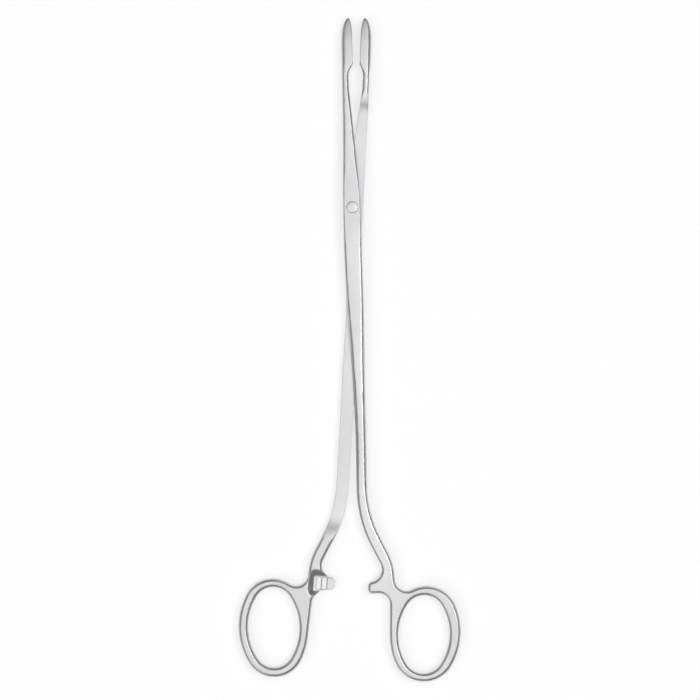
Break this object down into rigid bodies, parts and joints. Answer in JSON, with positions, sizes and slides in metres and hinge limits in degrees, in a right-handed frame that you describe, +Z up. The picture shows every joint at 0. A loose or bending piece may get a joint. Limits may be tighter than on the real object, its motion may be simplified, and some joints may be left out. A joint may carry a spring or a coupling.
{
  "type": "dressing forceps",
  "caption": "Long straight dressing forceps: two lapped halves on a pivot screw, serrated jaws, slim shanks, oval finger rings and toothed ratchet arms.",
  "frame": {"origin": "on the pivot axis, at the flat underside of the joint that the forceps lies on", "axes": "+Y from the finger rings towards the jaw tips, +X to the right seen from above, +Z up out of the front face, along the pivot screw"},
  "size_m": [0.0869, 0.2594, 0.0062],
  "materials": {
    "satin_steel": "satin",
    "screw_steel": "satin"
  },
  "bodies": {
    "rear": {"rear_half": "satin_steel", "pivot_screw": "screw_steel"},
    "front": {"front_half": "satin_steel"}
  },
  "joints": [
    {"name": "jaw_pivot", "type": "hinge", "parent": "rear", "child": "front", "pos_m": [0, 0, 0.003], "axis": [0, 0, 1], "range_deg": [-2.75, 40]}
  ]
}
